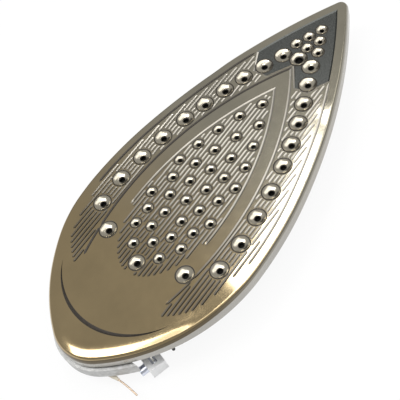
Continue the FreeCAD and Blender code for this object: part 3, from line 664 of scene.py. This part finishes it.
def coat_material(name, heel, fore, start, stop, rough):
    """Enamel with metal flake: one colour at the heel and one at the fore, slow tones, faint orange peel."""
    made = Shader(name, Metallic=0.95, Coat_Weight=0.5, Coat_Roughness=0.1)
    slow = made.noise(38.0, 3.0, 0.5)
    flake = made.noise(9000.0, 2.0, 0.6)
    tone = made.node("ShaderNodeMath", operation="MULTIPLY_ADD")
    made.feed(flake, tone.inputs[0])
    tone.inputs[1].default_value = FLAKE_SHARE
    made.feed(slow, tone.inputs[2])
    ends = []
    for end in (heel, fore):
        colours = [[c * t for c in end] for t in TONES]
        ends.append(made.ramp(tone.outputs[0], TONE_ENDS, colours))
    made.colour(made.mixed(made.along("X", start, stop), *ends))
    made.rough(made.span(made.noise(260.0, 3.0), *rough))
    made.bump(made.noise(2600.0, 2.0), 0.015, 0.00004)
    return made.material


def cast_material(name, dark, pale, painted_gallery_shade, start_z):
    """Sand-grey die casting, near black above a height as painted shade in the steam gallery behind the
    sheet.
    """
    made = Shader(name, Metallic=0.9)
    plain_cast = made.ramp(made.noise(420.0), BLEND_ENDS, (dark, pale))
    # Painted shade: near black where the casting lies behind the sheet and shows through the holes.
    scale = made.ramp(made.noise(600.0), BLEND_ENDS, (painted_gallery_shade, [c * 1.6 for c in painted_gallery_shade]))
    made.colour(made.mixed(made.along("Z", start_z, start_z + 0.0004), plain_cast, scale))
    made.rough(made.span(made.noise(970.0), 0.42, 0.60))
    made.bump(made.noise(2500.0, 3.0), 0.35, 0.0002)
    return made.material


skin_materials = [
    coat_material("coat_bronze", (0.413, 0.316, 0.169), (0.405, 0.373, 0.289), -0.07, 0.03, (0.12, 0.16)),
    blended("dish_polished", (0.50, 0.46, 0.37), (0.60, 0.55, 0.45), 1500.0, (0.17, 0.25), 0.05,
            Metallic=1.0),
    # Painted shade: the dark ring round each dish and at each hole's lip.
    blended("ring_painted_shade", (0.024, 0.020, 0.014), (0.042, 0.035, 0.026), 1800.0, (0.35, 0.5), 0.1,
            Metallic=0.4),
    blended("tip_field", (0.085, 0.089, 0.084), (0.112, 0.115, 0.107), 900.0, (0.24, 0.34), 0.12,
            Metallic=0.9),
    # Groove finish: near black at the heel as painted shade in the grooves, paler towards the fore.
    coat_material("coat_line_heel_shade", (0.06, 0.050, 0.035), (0.47, 0.44, 0.38), -0.065, 0.01, (0.26, 0.34)),
    # Painted shade in the crescent groove and in the border grooves on one side.
    blended("groove_painted_shade", (0.030, 0.025, 0.020), (0.055, 0.046, 0.036), 1200.0, (0.4, 0.55), 0.1,
            Metallic=0.4),
    coat_material("flange_bare", (0.40, 0.385, 0.35), (0.345, 0.315, 0.26), -0.04, 0.04, (0.24, 0.34)),
    # Painted shade: the near-black walls inside each hole.
    blended("hole_painted_shade", (0.003, 0.003, 0.003), (0.006, 0.006, 0.005), 900.0, (0.7, 0.9), 0.1),
    # Painted shade: the coat darkened on the lower rounding of the rim, most at the heel.
    coat_material("coat_edge_painted_shade", (0.110, 0.084, 0.046), (0.270, 0.250, 0.205), -0.07, -0.02, (0.14, 0.20)),
]
skin = mesh_object("soleplate_face", *build_skin(), skin_materials)
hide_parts("soleplate_skin")
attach(skin, "root")

node_materials = {
    # The casting is near black above 22.2 mm, painted shade in the steam gallery.
    "heater_casting": cast_material(
        "cast_alloy_gallery_shade", (0.44, 0.44, 0.43), (0.60, 0.60, 0.59), (0.006, 0.006, 0.005), 0.0222),
    "heating_element": blended(
        "element_sheath", (0.16, 0.15, 0.14), (0.26, 0.25, 0.23), 500.0, (0.35, 0.5), 0.15, Metallic=0.9),
    "element_bead_left": blended(
        "bead_ceramic", (0.72, 0.70, 0.65), (0.84, 0.82, 0.78), 900.0, (0.35, 0.5), 0.15),
    "terminal_pin_left": blended(
        "pin_plated", (0.55, 0.55, 0.54), (0.70, 0.70, 0.69), 900.0, (0.2, 0.32), 0.08, Metallic=1.0),
    "spade_tab_left": blended(
        "tab_plated", (0.58, 0.57, 0.52), (0.72, 0.71, 0.66), 900.0, (0.18, 0.3), 0.08, Metallic=1.0),
    "connector_terminal": blended(
        "receptacle_plated", (0.62, 0.65, 0.74), (0.76, 0.79, 0.88), 900.0, (0.18, 0.3), 0.08, Metallic=1.0),
    "connector_housing": blended(
        "clear_housing", (0.94, 0.95, 0.95), (0.99, 0.99, 0.99), 700.0, (0.08, 0.18), 0.1,
        Transmission_Weight=0.12, IOR=1.45),
    "chamber_seal": blended(
        "seal_silicone", (0.16, 0.055, 0.035), (0.24, 0.085, 0.05), 800.0, (0.5, 0.65), 0.2),
    "steam_cover": blended(
        "cover_pressed", (0.48, 0.48, 0.47), (0.62, 0.62, 0.61), 200.0, (0.26, 0.40), 0.1,
        stretch=(0.3, 3.0, 1.0), Metallic=1.0),
    "cover_screws": blended(
        "screw_zinc", (0.50, 0.50, 0.48), (0.66, 0.66, 0.64), 1100.0, (0.24, 0.36), 0.1, Metallic=1.0),
    "inlet_grommet": blended(
        "grommet_silicone", (0.30, 0.28, 0.26), (0.40, 0.38, 0.35), 800.0, (0.5, 0.65), 0.2),
    "fuse_case": blended(
        "fuse_tinned", (0.48, 0.47, 0.44), (0.62, 0.61, 0.58), 900.0, (0.28, 0.4), 0.1, Metallic=1.0),
    "fuse_seal": blended(
        "fuse_resin", (0.62, 0.56, 0.45), (0.76, 0.70, 0.58), 700.0, (0.3, 0.45), 0.15),
    "fuse_lead": blended(
        "lead_copper", (0.66, 0.50, 0.37), (0.78, 0.62, 0.48), 1200.0, (0.3, 0.42), 0.08, Metallic=0.7),
    "fuse_clip": blended(
        "clip_spring", (0.42, 0.41, 0.39), (0.56, 0.55, 0.53), 700.0, (0.24, 0.36), 0.1, Metallic=1.0),
    "locating_studs": blended(
        "stud_blackened", (0.018, 0.018, 0.018), (0.040, 0.040, 0.040), 900.0, (0.35, 0.5), 0.15,
        Metallic=0.7),
}
SHARED = {"element_bead_right": "element_bead_left", "terminal_pin_right": "terminal_pin_left",
          "spade_tab_right": "spade_tab_left", "earth_tab": "spade_tab_left", "earth_screw": "cover_screws",
          "fuse_clip_screw": "cover_screws", "fuse_lead_far": "fuse_lead"}
for name, made in frame["nodes"].items():
    if name == "soleplate_skin":
        continue
    made.data.materials.clear()
    made.data.materials.append(node_materials[SHARED.get(name, name)])


def plane(name, corners):
    """Flat stage piece with a material of its own."""
    mesh = bpy.data.meshes.new(name)
    mesh.from_pydata(corners, [], [(0, 1, 2, 3)])
    made = bpy.data.objects.new(name, mesh)
    bpy.context.scene.collection.objects.link(made)
    material = bpy.data.materials.new(name)
    material.use_nodes = True
    mesh.materials.append(material)
    return made, material.node_tree


def matte(tree, tone):
    """Plain grey of a stage piece."""
    shader = tree.nodes["Principled BSDF"]
    shader.inputs["Base Color"].default_value = (tone, tone, tone, 1.0)
    shader.inputs["Roughness"].default_value = 0.9
    return shader


# How white the floor looks to each kind of ray; the rest of its look is its plain colour under the lamps
FLOOR_WHITE = (("Is Camera Ray", 0.91), ("Is Glossy Ray", 0.6), ("Is Transmission Ray", 0.91))


def floor():
    """Plain floor, almost white to the camera and in reflections, that keeps the object's shadow."""
    size = 6.0
    _, tree = plane("floor", [(-size, -size, 0), (size, -size, 0), (size, size, 0), (-size, size, 0)])
    diffuse = matte(tree, 0.92)
    glow = tree.nodes.new("ShaderNodeEmission")
    path = tree.nodes.new("ShaderNodeLightPath")
    share = None
    for name, weight in FLOOR_WHITE:
        add = tree.nodes.new("ShaderNodeMath")
        add.operation = "MULTIPLY_ADD"
        add.use_clamp = True
        add.inputs[1].default_value = weight
        add.inputs[2].default_value = 0.0
        tree.links.new(path.outputs[name], add.inputs[0])
        if share:
            tree.links.new(share, add.inputs[2])
        share = add.outputs[0]
    mix = tree.nodes.new("ShaderNodeMixShader")
    tree.links.new(share, mix.inputs["Fac"])
    tree.links.new(diffuse.outputs[0], mix.inputs[1])
    tree.links.new(glow.outputs[0], mix.inputs[2])
    tree.links.new(mix.outputs[0], tree.nodes["Material Output"].inputs["Surface"])


def dark_card(x0, x1, y, height):
    """Dark studio card beyond the object, out of the camera's sight, that draws the fine lines."""
    foot = 0.001
    made, tree = plane("dark_card", [(x0, y, foot), (x1, y, foot), (x1, y, height), (x0, y, height)])
    matte(tree, 0.06)
    made.visible_camera = False


def soft_box(name, place, size_x, size_y, turn, radiance):
    """Soft box of a given brightness that faces straight down, turned about its axis."""
    data = bpy.data.lights.new(name, "AREA")
    data.shape = "RECTANGLE"
    data.size, data.size_y = size_x, size_y
    data.energy = radiance * math.pi * size_x * size_y
    made = bpy.data.objects.new(name, data)
    made.location = place
    made.rotation_euler = (0.0, 0.0, math.radians(turn))
    bpy.context.scene.collection.objects.link(made)


def camera():
    """Camera at the photograph's viewing angle."""
    data = bpy.data.cameras.new("camera")
    data.lens, data.sensor_width = 85.5, 36.0
    data.clip_start, data.clip_end = 0.01, 50.0
    made = bpy.data.objects.new("camera", data)
    axes = Matrix(((0.5912, 0.7507, -0.2948), (-0.7668, 0.4099, -0.494), (-0.2501, 0.5181, 0.818)))
    made.matrix_world = Matrix.Translation((-0.1554, -0.2327, 0.4011)) @ axes.to_4x4()
    bpy.context.scene.collection.objects.link(made)
    bpy.context.scene.camera = made


def world(strength):
    """Even white sky."""
    made = bpy.data.worlds.new("studio")
    made.use_nodes = True
    made.node_tree.nodes["Background"].inputs["Color"].default_value = (1.0, 1.0, 1.0, 1.0)
    made.node_tree.nodes["Background"].inputs["Strength"].default_value = strength
    bpy.context.scene.world = made


floor()
dark_card(-0.02, 0.33, 0.5, 0.33)
camera()
world(0.45)
soft_box("box_main", (-0.20, -0.30, 1.2), 0.70, 0.90, 0.0, 1.9)
soft_box("box_heel", (-0.375, 0.39, 1.2), 0.32, 0.72, 25.0, 9.0)
soft_box("box_over", (0.825, -0.335, 1.2), 1.35, 0.63, 0.0, 1.7)
soft_box("strip_fore", (0.402, 0.370, 1.2), 0.52, 0.17, 17.0, 9.0)
bpy.context.scene.view_settings.view_transform = "Standard"
